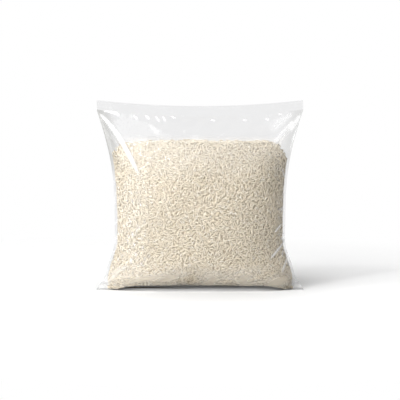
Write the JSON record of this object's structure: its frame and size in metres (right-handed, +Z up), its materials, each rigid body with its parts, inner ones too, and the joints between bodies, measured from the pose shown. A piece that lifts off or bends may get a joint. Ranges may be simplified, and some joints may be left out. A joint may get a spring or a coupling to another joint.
{
  "type": "bag of rice",
  "caption": "Clear sealed pillow bag of long-grain white rice, standing upright, with a flat welded band along the top and small empty film corners at the foot.",
  "frame": {"origin": "on the floor under the middle of the bag", "axes": "+X along the welds, to the right as seen from the front; -Y towards the viewer in front of the bag; +Z up, from the base to the top weld"},
  "size_m": [0.25, 0.0936, 0.2289],
  "materials": {
    "film_over_rice": "clear glossy film lying on pale rice, as one colour",
    "clear_film": "clear, glossy, slightly crinkled",
    "rice_grain": "pale cream, satin"
  },
  "bodies": {
    "root": {"rice_bag": "film_over_rice"}
  },
  "joints": []
}
